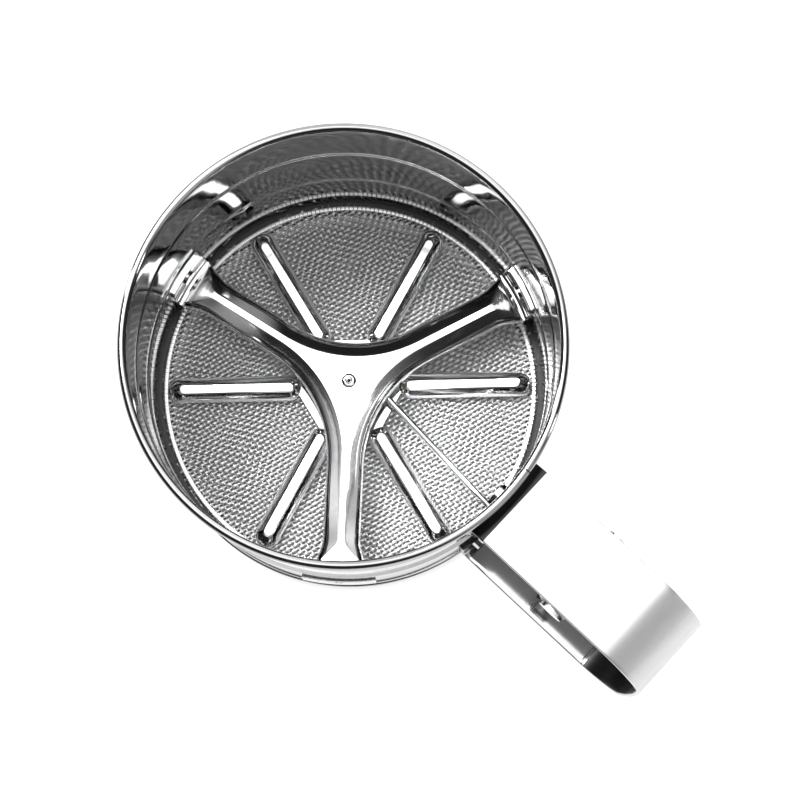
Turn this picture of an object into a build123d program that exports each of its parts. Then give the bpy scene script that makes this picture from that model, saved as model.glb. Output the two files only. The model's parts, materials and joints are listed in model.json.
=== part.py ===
from build123d import *
import math
import os

# Flour sifter: a steel cup with a fine mesh floor, stirred by a six-armed agitator that a trigger
# in the handle turns through a drive rod. Millimetres, +Z up, +X along the handle.
# The origin is on the cup's axis, in the plane that the cup stands on.

# Cup
cup_height = 86.0
wall_inner_radius = 50.3
wall_sheet = 0.6
wall_outer_radius = wall_inner_radius + wall_sheet
rim_roll_radius = 1.1
hem_height = 3.5
hem_sheet = 0.6
bead_heights = (38.0, 64.0)
bead_half_width = 1.3
bead_depth = 0.55

# Mesh floor and its rings
mesh_bottom = 12.0
mesh_thickness = 0.6
mesh_radius = 49.9
support_sheet = 0.6
support_bottom = 1.5
support_ledge_radius = 46.8
ring_wire_radius = 0.85
ring_radius = 49.4
ring_lift = 0.68

# Bridge across the cup
bridge_top = 27.0
bridge_sheet = 1.0
bridge_depth = 4.2
bridge_half_width = 4.7
bridge_web_radius = 31.0
bridge_flare_start = 36.0
bridge_flare_half_width = 7.3
bridge_foot_radius = 48.9
bridge_tab_height = 6.0
bridge_angles = (-49.4, 70.6, 190.6)
bridge_shoulder = 1.9
backing_plate_half_width = 9.2
backing_plate_sheet = 1.2
backing_plate_low = 21.0
backing_plate_high = 31.0
bridge_rivet_height = 29.1
bridge_rivet_radius = 1.2
bridge_rivet_head_radius = 1.9
bridge_rivet_head_height = 0.7
bridge_rivet_inset = 0.1

# Pivot pin, its spacer and washers
pin_radius = 1.5
pin_head_radius = 1.9
pin_head_height = 0.7
pin_head_rounding = 0.4
pin_end = 13.2
washer_sheet = 0.5
washer_radius = 3.3
low_washer_radius = 2.6
clip_sheet = 0.6
clip_mouth = 1.5
clip_radius = 2.9
spacer_radius = 2.6
running_gap = 0.3
shaft_clearance = 0.05

# Agitator
plate_bottom = 14.8
plate_sheet = 0.8
arm_count = 6
arm_step = 360.0 / arm_count
arm_angle = 44.4
arm_tip_radius = 47.6
arm_root_radius = 12.6
arm_width = 6.6
rib_height = 2.9
rib_shoulder = 1.9
hub_apothem = 12.5
bush_radius = 2.5
bush_height = 3.0
slot_width = 2.5
crank_offset = 5.0
crank_stroke = 7.0
slot_end_clearance = 0.3

# Drive rod
rod_radius = 0.9
rod_height = 20.0
rod_bend_radius = 1.9
rod_foot = 13.6
push_nut_radius = 2.3
push_nut_sheet = 0.5
foot_nut_radius = 2.0
nut_gap = 0.55
rod_stub = 0.8
eyelet_bore_radius = 2.1
eyelet_outer_radius = 2.7
eyelet_flange_radius = 3.9
eyelet_flange_sheet = 0.5
eyelet_lip = 0.4

# Handle
strap_sheet = 1.0
strap_half_width = 11.0
strap_spread = 20.0
strap_far_end = 106.5
strap_top = 79.0
strap_bottom = 3.5
strap_corner_radius = 11.4
strap_bend_radius = 3.0
upper_flange_bottom = 66.0
lower_flange_top = 15.2
upper_rivet_height = 71.4
lower_rivet_height = 8.9
lower_rivet_radius = 1.6
lower_rivet_head_radius = 2.3
lower_rivet_side = 5.5
rivet_radius = 2.0
rivet_head_radius = 3.0
rivet_head_height = 1.4
rivet_overlap = 1.0

# Trigger, its pivot and its return spring
pivot_x = 77.0
pivot_z = 73.3
ear_radius = 3.7
trigger_pin_radius = 1.5
trigger_pin_head_radius = 3.2
trigger_pin_head_height = 1.0
trigger_pin_tail_radius = 2.4
trigger_pin_tail_height = 0.8
trigger_sheet = 1.0
trigger_half_width = 6.5
trigger_front = 72.6
trigger_hollow = 2.0
trigger_top = 76.2
trigger_foot = 15.8
trigger_ear_radius = 3.1
trigger_foot_rounding = 4.55
cheek_fade = 28.0
cheek_low_height = 40.0
cheek_low_depth = 1.0
cheek_knee_height = 64.0
cheek_knee_depth = 2.0
rod_hole_radius = 1.35
sleeve_radius = 2.4
sleeve_gap = 0.3
spring_wire_radius = 0.4
spring_coil_radius = 2.35
spring_turns = 5.25
spring_pitch = 0.95
spring_leg = 10.0
spring_strap_gap = 0.05
spring_trigger_gap = 0.1

# Reach of the tools that cut through the wall, and the turn of their seams
wall_far = 60.0
tool_length = 300.0
seam_turn = 37.0


def ring_face(*points):
    """A closed straight-edged face in the XZ plane from (radius, height) points."""
    corners = [Vector(r, 0, z) for r, z in points]
    return make_face(Polyline(*corners, close=True))


def spin(face, arc=360.0, start=0.0):
    """The solid that a face sweeps about the cup's axis."""
    return revolve(face, axis=Axis.Z, revolution_arc=arc).rotate(Axis.Z, start)


def tube_z(radius, low, high, x=0.0, y=0.0):
    """An upright cylinder between two heights."""
    return Pos(x, y, (low + high) / 2) * Cylinder(radius, high - low)


def tube_y(radius, low, high, x, z):
    """A cylinder along Y between two places."""
    return Pos(x, (low + high) / 2, z) * Rot(90, 0, 0) * Cylinder(radius, high - low)


def tube_out(radius, low, high, height, angle=0.0, side=0.0):
    """A cylinder pointing out from the cup's axis, its seam turned off its highest and lowest lines."""
    upright = Rot(0, 90, 0) * Rot(0, 0, seam_turn) * Cylinder(radius, high - low)
    return (Pos((low + high) / 2, side, height) * upright).rotate(Axis.Z, angle)


def save(shape, name):
    """Writes one node's solids."""
    export_step(shape, f"parts/{name}.step")


def rod_line_angle():
    """The drive rod's slant in plan, in degrees, from the agitator's slot to the trigger."""
    return math.degrees(math.atan2(-crank_offset, trigger_front + crank_stroke / 2))


def rod_side(x):
    """The drive rod's Y at a given X, at rest."""
    return crank_offset + (x + crank_stroke / 2) * math.tan(math.radians(rod_line_angle()))


def wall_outline(radius):
    """One face of the wall in the XZ plane, from the floor up, bulging out at each bead."""
    edges = []
    low = 0.0
    for height in bead_heights:
        under = Vector(radius, 0, height - bead_half_width)
        crest = Vector(radius + bead_depth, 0, height)
        over = Vector(radius, 0, height + bead_half_width)
        edges.append(Line(Vector(radius, 0, low), under))
        edges.append(ThreePointArc(under, crest, over))
        low = height + bead_half_width
    edges.append(Line(Vector(radius, 0, low), Vector(radius, 0, cup_height - rim_roll_radius)))
    return edges


def wall_section():
    """The wall's full sheet thickness in the XZ plane."""
    top = cup_height - rim_roll_radius
    inner = wall_outline(wall_inner_radius)
    outer = wall_outline(wall_outer_radius)
    foot = Line(Vector(wall_inner_radius, 0, 0), Vector(wall_outer_radius, 0, 0))
    head = Line(Vector(wall_inner_radius, 0, top), Vector(wall_outer_radius, 0, top))
    return make_face([*inner, head, *outer, foot])


def rim_section():
    """The rim's outward curl, open where its edge stops short of the wall."""
    centre = Pos(wall_inner_radius + rim_roll_radius, 0, cup_height - rim_roll_radius)
    upright = Rot(90, 0, 0)
    curl = Circle(rim_roll_radius) - Circle(rim_roll_radius - wall_sheet)
    mouth = Pos(-rim_roll_radius / 2, -rim_roll_radius / 2) * Rectangle(rim_roll_radius, rim_roll_radius)
    return centre * upright * (curl - mouth)


def rod_hole_angle():
    """Where the drive rod goes through the wall, as an angle about the cup's axis."""
    return math.degrees(math.asin(rod_side(wall_inner_radius) / wall_inner_radius))


def cup_holes():
    """The holes through the wall for the rod's eyelet and all the rivets."""
    inside = support_ledge_radius
    holes = [tube_out(eyelet_outer_radius, inside, wall_far, rod_height, rod_hole_angle())]
    holes.append(tube_out(rivet_radius, inside, wall_far, upper_rivet_height))
    for side in (-lower_rivet_side, lower_rivet_side):
        holes.append(tube_out(lower_rivet_radius, inside, wall_far, lower_rivet_height, 0, side))
    for angle in bridge_angles:
        holes.append(tube_out(bridge_rivet_radius, inside, wall_far, bridge_rivet_height, angle))
    return holes


def cup_body():
    """The wall with its two beads, rolled rim and folded hem."""
    body = spin(wall_section()) + spin(rim_section())
    hem_radius = wall_outer_radius + hem_sheet
    hem = ring_face(
        (wall_outer_radius, 0), (hem_radius, 0), (hem_radius, hem_height), (wall_outer_radius, hem_height)
    )
    body += spin(hem)
    for hole in cup_holes():
        body -= hole
    return body


def mesh_support_ring():
    """An angle ring inside the wall, whose ledge carries the mesh."""
    leg_radius = wall_inner_radius - support_sheet
    section = ring_face(
        (wall_inner_radius, support_bottom),
        (wall_inner_radius, mesh_bottom),
        (support_ledge_radius, mesh_bottom),
        (support_ledge_radius, mesh_bottom - support_sheet),
        (leg_radius, mesh_bottom - support_sheet),
        (leg_radius, support_bottom),
    )
    ring = spin(section)
    for hole in cup_holes():
        ring -= hole
    return ring


def sieve_mesh():
    """The mesh as a thin disc over its full woven thickness."""
    return tube_z(mesh_radius, mesh_bottom, mesh_bottom + mesh_thickness)


def mesh_retaining_ring():
    """The round ring pressed down on the mesh's edge, flattened where it bears."""
    top = mesh_bottom + mesh_thickness
    wire = Pos(ring_radius, 0, top + ring_lift) * Rot(90, 0, 0) * Circle(ring_wire_radius)
    ring = spin(wire)
    return ring - tube_z(wall_far, 0, top)


def bridge_plan(inset):
    """The three-armed outline with concave edges between arms and flared ends."""
    half = bridge_half_width - inset
    arm_length = bridge_foot_radius
    flare = bridge_flare_half_width - inset
    plan = Sketch()
    for angle in bridge_angles:
        blade = Polygon(
            (0, -half), (bridge_flare_start, -half), (arm_length, -flare),
            (arm_length, flare), (bridge_flare_start, half), (0, half),
            align=None,
        )
        plan += Rot(0, 0, angle) * blade
    return fillet(inner_corners(plan), bridge_web_radius + inset)


def inner_corners(plan):
    """The three corners where the arms' edges meet, nearest the middle."""
    return plan.vertices().sort_by(lambda v: math.hypot(v.X, v.Y))[:3]


def bridge_shell():
    """The pressed channel: a flat top, rounded shoulders and edges turned down."""
    low = bridge_top - bridge_depth
    outer = Pos(0, 0, low) * extrude(bridge_plan(0), bridge_depth)
    outer = fillet(outer.faces().sort_by(Axis.Z)[-1].edges(), bridge_shoulder)
    under_depth = bridge_depth - bridge_sheet
    inner = Pos(0, 0, low) * extrude(bridge_plan(bridge_sheet), under_depth)
    inner_shoulder = bridge_shoulder - bridge_sheet
    inner = fillet(inner.faces().sort_by(Axis.Z)[-1].edges(), inner_shoulder)
    return outer - inner


def bridge_tab(angle):
    """An arm's end, turned up to lie on the wall."""
    spread = math.degrees(math.asin(bridge_flare_half_width / wall_inner_radius))
    inner = wall_inner_radius - bridge_sheet
    low = bridge_top - bridge_sheet
    foot_start = bridge_foot_radius - bridge_shoulder
    section = ring_face(
        (foot_start, low),
        (wall_inner_radius, low),
        (wall_inner_radius, low + bridge_tab_height),
        (inner, low + bridge_tab_height),
        (inner, bridge_top),
        (foot_start, bridge_top),
    )
    return spin(section, 2 * spread, angle - spread)


def bridge():
    """The fixed bridge that holds the pivot pin over the mesh."""
    body = bridge_shell()
    for angle in bridge_angles:
        body += bridge_tab(angle)
    for angle in bridge_angles:
        body -= tube_out(bridge_rivet_radius, support_ledge_radius, wall_far, bridge_rivet_height, angle)
    return body - tube_z(pin_radius, 0, cup_height)


def backing_plates():
    """Curved plates outside the wall, behind the bridge's three ends."""
    spread = math.degrees(math.asin(backing_plate_half_width / wall_outer_radius))
    outer = wall_outer_radius + backing_plate_sheet
    section = ring_face(
        (wall_outer_radius, backing_plate_low),
        (outer, backing_plate_low),
        (outer, backing_plate_high),
        (wall_outer_radius, backing_plate_high),
    )
    plates = []
    for angle in bridge_angles:
        plate = spin(section, 2 * spread, angle - spread)
        hole = tube_out(bridge_rivet_radius, wall_inner_radius, wall_far, bridge_rivet_height, angle)
        plates.append(plate - hole)
    return Compound(children=plates)


def bridge_rivets():
    """One rivet through each bridge end, the wall and its plate, flush outside."""
    face = wall_inner_radius - bridge_sheet
    head_end = face - bridge_rivet_head_height
    tail = wall_outer_radius + backing_plate_sheet - bridge_rivet_inset
    rivets = []
    for angle in bridge_angles:
        shank = tube_out(bridge_rivet_radius, head_end, tail, bridge_rivet_height, angle)
        # The tab is curved, so the head's back is cut to lie on it.
        seat = face + bridge_rivet_inset
        head = tube_out(bridge_rivet_head_radius, head_end, seat, bridge_rivet_height, angle)
        head -= Cylinder(wall_far, tool_length) - Cylinder(face, tool_length)
        rivets.append(head + shank)
    return Compound(children=rivets)


def pivot_pin():
    """The pin riveted into the bridge, with a groove's width of shank below the clip."""
    head = tube_z(pin_head_radius, bridge_top, bridge_top + pin_head_height)
    head = fillet(head.faces().sort_by(Axis.Z)[-1].edges(), pin_head_rounding)
    return head + tube_z(pin_radius, pin_end, bridge_top)


def spacer_levels():
    """The spacer's lower and upper ends, above the agitator's bush and below the top washer."""
    bush_top = plate_bottom + plate_sheet + bush_height
    return bush_top + running_gap, bridge_top - bridge_sheet - washer_sheet


def pin_spacer():
    """The sleeve that keeps the agitator down from the bridge."""
    low, high = spacer_levels()
    return tube_z(spacer_radius, low, high) - tube_z(pin_radius, 0, cup_height)


def top_washer():
    """The washer between the spacer and the bridge."""
    low = bridge_top - bridge_sheet - washer_sheet
    return tube_z(washer_radius, low, low + washer_sheet) - tube_z(pin_radius, 0, cup_height)


def bottom_washer():
    """The washer below the agitator's plate."""
    high = plate_bottom - running_gap
    return tube_z(low_washer_radius, high - washer_sheet, high) - tube_z(pin_radius, 0, cup_height)


def retaining_clip():
    """The split clip on the pin's end that holds the washer up."""
    high = plate_bottom - running_gap - washer_sheet
    ring = tube_z(clip_radius, high - clip_sheet, high) - tube_z(pin_radius, 0, cup_height)
    mouth = Pos(clip_radius, 0, high) * Box(2 * clip_radius, clip_mouth, 4 * clip_sheet)
    return ring - mouth.rotate(Axis.Z, arm_angle)


def crank_angle():
    """The slot's direction at rest, in degrees about the cup's axis."""
    return math.degrees(math.atan2(crank_offset, -crank_stroke / 2))


def crank_slot():
    """The radial slot that the rod's turned-down end runs in."""
    near = crank_offset
    far = math.hypot(crank_offset, crank_stroke / 2)
    side_gap = slot_width / 2 - rod_radius
    start = near + side_gap - slot_end_clearance
    end = far - side_gap + slot_end_clearance
    length = end - start
    slot = Pos((start + end) / 2, 0, 0) * Box(length, slot_width, cup_height)
    slot += tube_z(slot_width / 2, -cup_height, cup_height, start)
    slot += tube_z(slot_width / 2, -cup_height, cup_height, end)
    return slot.rotate(Axis.Z, crank_angle())


def capsule(width, root, tip, height, shoulder):
    """A rib along X: an upright slab with round ends and a rounded top."""
    plan = Pos((root + tip) / 2, 0) * SlotOverall(tip - root, width)
    slab = Pos(0, 0, plate_bottom) * extrude(plan, height)
    return fillet(slab.faces().sort_by(Axis.Z)[-1].edges(), shoulder)


def agitator():
    """The stamped stirrer: a six-sided plate with a hollow round-topped rib for each arm."""
    plan = Rot(0, 0, arm_angle) * RegularPolygon(hub_apothem, arm_count, major_radius=False)
    body = Pos(0, 0, plate_bottom) * extrude(plan, plate_sheet)
    for arm in range(arm_count):
        rib = capsule(arm_width, arm_root_radius, arm_tip_radius, rib_height, rib_shoulder)
        body += rib.rotate(Axis.Z, arm_angle + arm_step * arm)
    for arm in range(arm_count):
        hollow = capsule(
            arm_width - 2 * plate_sheet,
            arm_root_radius + plate_sheet,
            arm_tip_radius - plate_sheet,
            rib_height - plate_sheet,
            rib_shoulder - plate_sheet,
        )
        body -= hollow.rotate(Axis.Z, arm_angle + arm_step * arm)
    body -= tube_z(bush_radius, 0, cup_height)
    return body - crank_slot()


def hub_bush():
    """The flanged bush pressed into the agitator, which turns on the pin."""
    plate_top = plate_bottom + plate_sheet
    barrel = tube_z(bush_radius, plate_bottom, plate_top + bush_height)
    flange = tube_z(washer_radius, plate_top, plate_top + washer_sheet)
    return barrel + flange - tube_z(pin_radius + shaft_clearance, 0, cup_height)


def rod_end_x():
    """Where the rod's outer end is, just past its outer nut."""
    return trigger_face_x(rod_height) + trigger_sheet + nut_gap + push_nut_sheet + rod_stub


def drive_rod():
    """The wire rod: a straight run, turned down into the agitator's slot at its inner end."""
    start_x = -crank_stroke / 2
    length = (rod_end_x() - start_x) / math.cos(math.radians(rod_line_angle()))
    path = FilletPolyline(
        (0, 0, rod_foot), (0, 0, rod_height), (length, 0, rod_height), radius=rod_bend_radius
    )
    start = Plane(origin=(0, 0, rod_foot), z_dir=(0, 0, 1))
    rod = sweep(start * Circle(rod_radius), path=path)
    return Pos(start_x, crank_offset, 0) * Rot(0, 0, rod_line_angle()) * rod


def rod_push_nuts():
    """Two spring nuts, one on each side of the trigger, square to the rod."""
    face = trigger_face_x(rod_height)
    slope = math.cos(math.radians(rod_line_angle()))
    nuts = []
    for centre in (
        face - nut_gap - push_nut_sheet / 2,
        face + trigger_sheet + nut_gap + push_nut_sheet / 2,
    ):
        along = (centre + crank_stroke / 2) / slope
        nut = Pos(along, 0, rod_height) * Rot(0, 90, 0) * (
            Cylinder(push_nut_radius, push_nut_sheet) - Cylinder(rod_radius, push_nut_sheet)
        )
        nuts.append(Pos(-crank_stroke / 2, crank_offset, 0) * Rot(0, 0, rod_line_angle()) * nut)
    return Compound(children=nuts)


def rod_foot_nut():
    """The spring nut under the agitator's plate, on the rod's turned-down end."""
    high = plate_bottom - running_gap
    x = -crank_stroke / 2
    nut = tube_z(foot_nut_radius, high - push_nut_sheet, high, x, crank_offset)
    return nut - tube_z(rod_radius, 0, cup_height, x, crank_offset)


def rod_eyelet():
    """The flanged eyelet in the wall that the rod passes through."""
    inner = wall_inner_radius - eyelet_flange_sheet
    outer = wall_outer_radius + eyelet_flange_sheet
    barrel = tube_out(eyelet_outer_radius, inner - eyelet_lip, outer + eyelet_lip, rod_height)
    inner_shell = Cylinder(wall_inner_radius, tool_length) - Cylinder(inner, tool_length)
    outer_shell = Cylinder(outer, tool_length) - Cylinder(wall_outer_radius, tool_length)
    disc = tube_out(eyelet_flange_radius, support_ledge_radius, wall_far, rod_height)
    body = barrel + (disc & inner_shell) + (disc & outer_shell)
    body -= tube_out(eyelet_bore_radius, support_ledge_radius, wall_far, rod_height)
    return body.rotate(Axis.Z, rod_hole_angle())


def strap_loop():
    """The flat loop of the handle, open towards the cup."""
    height = strap_top - strap_bottom
    middle = (strap_top + strap_bottom) / 2
    near = wall_inner_radius - strap_sheet
    outline = Pos((near + strap_far_end) / 2, middle) * Rectangle(strap_far_end - near, height)
    outline = fillet(outline.vertices().sort_by(Axis.X)[-2:], strap_corner_radius)
    inner_end = strap_far_end - strap_sheet
    void = Pos((near + inner_end) / 2, middle) * Rectangle(inner_end - near, height - 2 * strap_sheet)
    void = fillet(void.vertices().sort_by(Axis.X)[-2:], strap_corner_radius - strap_sheet)
    band = extrude(Rot(90, 0, 0) * (outline - void), strap_half_width, both=True)
    return band - Cylinder(wall_outer_radius + strap_bend_radius, tool_length)


def side_point(x, z):
    """A point in the XZ plane."""
    return Vector(x, 0, z)


def flange_section(leg_top, flange_end, turn):
    """A flange on the wall that bends out into a leg; turn is 1 at the top leg, -1 at the low one."""
    outer_leg = leg_top
    inner_leg = leg_top - turn * strap_sheet
    centre_r = wall_outer_radius + strap_bend_radius
    centre_z = leg_top - turn * strap_bend_radius
    inner_bend = strap_bend_radius - strap_sheet
    root_half = math.sqrt(0.5)
    far = centre_r + strap_sheet
    outer_mid = (centre_r - strap_bend_radius * root_half, centre_z + turn * strap_bend_radius * root_half)
    inner_mid = (centre_r - inner_bend * root_half, centre_z + turn * inner_bend * root_half)
    wall = wall_outer_radius
    skin = wall_outer_radius + strap_sheet
    at = side_point
    return make_face([
        Line(at(wall, flange_end), at(wall, centre_z)),
        ThreePointArc(at(wall, centre_z), at(*outer_mid), at(centre_r, outer_leg)),
        Line(at(centre_r, outer_leg), at(far, outer_leg)),
        Line(at(far, outer_leg), at(far, inner_leg)),
        Line(at(far, inner_leg), at(centre_r, inner_leg)),
        ThreePointArc(at(centre_r, inner_leg), at(*inner_mid), at(skin, centre_z)),
        Line(at(skin, centre_z), at(skin, flange_end)),
        Line(at(skin, flange_end), at(wall, flange_end)),
    ])


def strap_ears():
    """The two lugs turned down from the upper leg that carry the trigger's pin."""
    ears = []
    for side in (-1, 1):
        middle = side * (strap_half_width - strap_sheet / 2)
        lug = tube_y(ear_radius, middle - strap_sheet / 2, middle + strap_sheet / 2, pivot_x, pivot_z)
        top = strap_top - strap_sheet / 2
        stem = Pos(pivot_x, middle, (top + pivot_z) / 2)
        ears.append(lug + stem * Box(2 * ear_radius, strap_sheet, top - pivot_z))
    return ears


def handle_rivet_holes():
    """The rivet holes through the strap's two flanges."""
    low = wall_inner_radius
    holes = [tube_out(rivet_radius, low, wall_far, upper_rivet_height)]
    for side in (-lower_rivet_side, lower_rivet_side):
        holes.append(tube_out(lower_rivet_radius, low, wall_far, lower_rivet_height, 0, side))
    return holes


def handle_strap():
    """The handle: one strap bent into a tall loop, with a flange on the wall at each end."""
    body = strap_loop()
    band = Box(tool_length, 2 * strap_half_width, tool_length)
    upper = spin(flange_section(strap_top, upper_flange_bottom, 1), 2 * strap_spread, -strap_spread)
    lower = spin(flange_section(strap_bottom, lower_flange_top, -1), 2 * strap_spread, -strap_spread)
    body += upper & band
    body += lower & band
    for ear in strap_ears():
        body += ear
    for hole in handle_rivet_holes():
        body -= hole
    return body - tube_y(trigger_pin_radius, -wall_far, wall_far, pivot_x, pivot_z)


def curved_rivet(height, side, inner_face, radius, head_radius):
    """A rivet through the wall and the strap, its heads seated on their curved faces."""
    outer_face = wall_outer_radius + strap_sheet
    inner_end = inner_face - rivet_head_height
    outer_end = outer_face + rivet_head_height
    inner_head = tube_out(head_radius, inner_end, inner_face + rivet_overlap, height, 0, side)
    inner_head -= Cylinder(wall_far, tool_length) - Cylinder(inner_face, tool_length)
    outer_head = tube_out(head_radius, outer_face - rivet_overlap, outer_end, height, 0, side)
    outer_head -= Cylinder(outer_face, tool_length)
    shank = tube_out(radius, inner_face - rivet_overlap, outer_face + rivet_overlap, height, 0, side)
    return inner_head + outer_head + shank


def upper_handle_rivet():
    """The rivet of the strap's upper flange."""
    return curved_rivet(upper_rivet_height, 0, wall_inner_radius, rivet_radius, rivet_head_radius)


def lower_handle_rivets():
    """The two rivets of the lower flange, side by side, which also hold the mesh's ring."""
    inner_face = wall_inner_radius - support_sheet
    rivets = []
    for side in (-lower_rivet_side, lower_rivet_side):
        rivets.append(
            curved_rivet(lower_rivet_height, side, inner_face, lower_rivet_radius, lower_rivet_head_radius)
        )
    return Compound(children=rivets)


def trigger_bow():
    """Centre height, half chord and radius of the trigger's hollow front, an arc in side view."""
    middle = (trigger_top + trigger_foot) / 2
    half_chord = (trigger_top - trigger_foot) / 2
    radius = (half_chord ** 2 + trigger_hollow ** 2) / (2 * trigger_hollow)
    return middle, half_chord, radius


def trigger_face_x(height):
    """X of the trigger's front face at a height."""
    middle, half_chord, radius = trigger_bow()
    centre = trigger_front + trigger_hollow - radius
    return centre + math.sqrt(radius ** 2 - (height - middle) ** 2)


def trigger_web():
    """The trigger's front, a strip hollowed for the fingers, in side view."""
    middle = trigger_bow()[0]
    front = [side_point(trigger_face_x(z), z) for z in (trigger_foot, middle, trigger_top)]
    back = [v + Vector(trigger_sheet, 0, 0) for v in front]
    return make_face([
        ThreePointArc(*front),
        Line(front[2], back[2]),
        ThreePointArc(back[2], back[1], back[0]),
        Line(back[0], front[0]),
    ])


def trigger_cheek():
    """The outline of one turned-back edge, deep at the pivot and fading out towards the foot."""
    middle = trigger_bow()[0]
    front = [side_point(trigger_face_x(z), z) for z in (cheek_fade, middle, trigger_top)]
    back = [
        front[2],
        side_point(pivot_x, trigger_top),
        side_point(pivot_x + trigger_ear_radius, pivot_z),
        side_point(pivot_x + cheek_knee_depth, cheek_knee_height),
        side_point(pivot_x + cheek_low_depth, cheek_low_height),
        front[0],
    ]
    return make_face([ThreePointArc(*front), Polyline(*back)])


def trigger_lever():
    """The trigger: a pressed channel that swings on the pin and pulls the rod."""
    body = extrude(trigger_web(), trigger_half_width, both=True)
    for side in (-1, 1):
        middle = side * (trigger_half_width - trigger_sheet / 2)
        half_sheet = trigger_sheet / 2
        cheek = Pos(0, middle, 0) * extrude(trigger_cheek(), half_sheet, both=True)
        lug = tube_y(trigger_ear_radius, middle - half_sheet, middle + half_sheet, pivot_x, pivot_z)
        body += cheek + lug
    body = fillet(foot_corners(body), trigger_foot_rounding)
    body -= tube_y(trigger_pin_radius + shaft_clearance, -wall_far, wall_far, pivot_x, pivot_z)
    return body - tube_out(rod_hole_radius, wall_far, strap_far_end, rod_height)


def foot_corners(body):
    """The two short edges at the trigger's lower corners."""
    return body.edges().filter_by(Axis.X).sort_by(Axis.Z)[:2]


def trigger_pivot_pin():
    """The pin through the handle's lugs, with a head at the near end and a riveted far end."""
    near = -strap_half_width
    head = tube_y(trigger_pin_head_radius, near - trigger_pin_head_height, near, pivot_x, pivot_z)
    far = strap_half_width + trigger_pin_tail_height
    tail = tube_y(trigger_pin_tail_radius, strap_half_width, far, pivot_x, pivot_z)
    shank = tube_y(trigger_pin_radius, near, strap_half_width, pivot_x, pivot_z)
    return head + shank + tail


def pivot_sleeves():
    """Two short sleeves on the pin that keep the trigger in the middle of the strap."""
    near = trigger_half_width + sleeve_gap
    far = strap_half_width - strap_sheet
    sleeves = []
    for low, high in ((-far, -near), (near, far)):
        sleeve = tube_y(sleeve_radius, low, high, pivot_x, pivot_z)
        sleeves.append(sleeve - tube_y(trigger_pin_radius, low, high, pivot_x, pivot_z))
    return Compound(children=sleeves)


def wire(start, end):
    """A straight piece of the spring's wire."""
    line = Vector(*end) - Vector(*start)
    return Plane(origin=start, z_dir=line) * extrude(Circle(spring_wire_radius), line.length)


def return_spring():
    """The torsion spring on the pin: a close coil, one leg up to the strap, one down the trigger."""
    length = spring_turns * spring_pitch
    helix = Helix(pitch=spring_pitch, height=length, radius=spring_coil_radius)
    start = Plane(origin=helix @ 0, z_dir=helix % 0)
    coil = sweep(start * Circle(spring_wire_radius), path=helix)
    seat = Plane(origin=(pivot_x, length / 2, pivot_z), x_dir=(0, 0, 1), z_dir=(0, -1, 0))
    coil = seat * coil
    strap_touch = strap_top - strap_sheet - spring_wire_radius - spring_strap_gap
    leg_up = wire(
        (pivot_x, length / 2, pivot_z + spring_coil_radius),
        (pivot_x + spring_leg, length / 2, strap_touch),
    )
    foot_z = pivot_z - spring_leg
    foot_x = trigger_face_x(foot_z) + trigger_sheet + spring_wire_radius + spring_trigger_gap
    leg_down = wire(
        (pivot_x - spring_coil_radius, -length / 2, pivot_z),
        (foot_x, -length / 2, foot_z),
    )
    return coil + leg_up + leg_down


NODES = {
    "cup_body": cup_body,
    "mesh_support_ring": mesh_support_ring,
    "sieve_mesh": sieve_mesh,
    "mesh_retaining_ring": mesh_retaining_ring,
    "bridge": bridge,
    "bridge_backing_plates": backing_plates,
    "bridge_rivets": bridge_rivets,
    "pivot_pin": pivot_pin,
    "pin_spacer": pin_spacer,
    "top_washer": top_washer,
    "bottom_washer": bottom_washer,
    "retaining_clip": retaining_clip,
    "agitator": agitator,
    "hub_bush": hub_bush,
    "drive_rod": drive_rod,
    "rod_push_nuts": rod_push_nuts,
    "rod_foot_nut": rod_foot_nut,
    "rod_eyelet": rod_eyelet,
    "handle_strap": handle_strap,
    "upper_handle_rivet": upper_handle_rivet,
    "lower_handle_rivets": lower_handle_rivets,
    "trigger_lever": trigger_lever,
    "trigger_pivot_pin": trigger_pivot_pin,
    "pivot_sleeves": pivot_sleeves,
    "return_spring": return_spring,
}

os.makedirs("parts", exist_ok=True)
for node_name, make_node in NODES.items():
    save(make_node(), node_name)
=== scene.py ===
import json
import math

import bpy
import numpy as np
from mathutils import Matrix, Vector


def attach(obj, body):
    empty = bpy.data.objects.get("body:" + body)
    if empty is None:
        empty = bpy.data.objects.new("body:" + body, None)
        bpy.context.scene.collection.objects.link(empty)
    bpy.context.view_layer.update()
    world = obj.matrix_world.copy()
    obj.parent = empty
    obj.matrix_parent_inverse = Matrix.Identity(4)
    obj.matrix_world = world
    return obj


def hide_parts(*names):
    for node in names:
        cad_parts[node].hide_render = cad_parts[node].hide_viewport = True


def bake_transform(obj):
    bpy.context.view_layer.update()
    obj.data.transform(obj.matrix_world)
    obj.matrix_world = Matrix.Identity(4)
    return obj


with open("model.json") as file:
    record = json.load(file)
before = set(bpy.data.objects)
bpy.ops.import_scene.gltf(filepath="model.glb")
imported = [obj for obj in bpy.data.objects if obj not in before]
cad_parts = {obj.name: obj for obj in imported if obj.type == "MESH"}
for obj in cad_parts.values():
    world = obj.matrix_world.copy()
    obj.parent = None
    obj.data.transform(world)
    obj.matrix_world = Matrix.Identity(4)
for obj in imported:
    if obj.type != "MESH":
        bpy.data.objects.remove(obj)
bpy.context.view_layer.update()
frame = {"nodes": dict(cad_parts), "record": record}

MM = 0.001
NODES = frame["nodes"]

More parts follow.
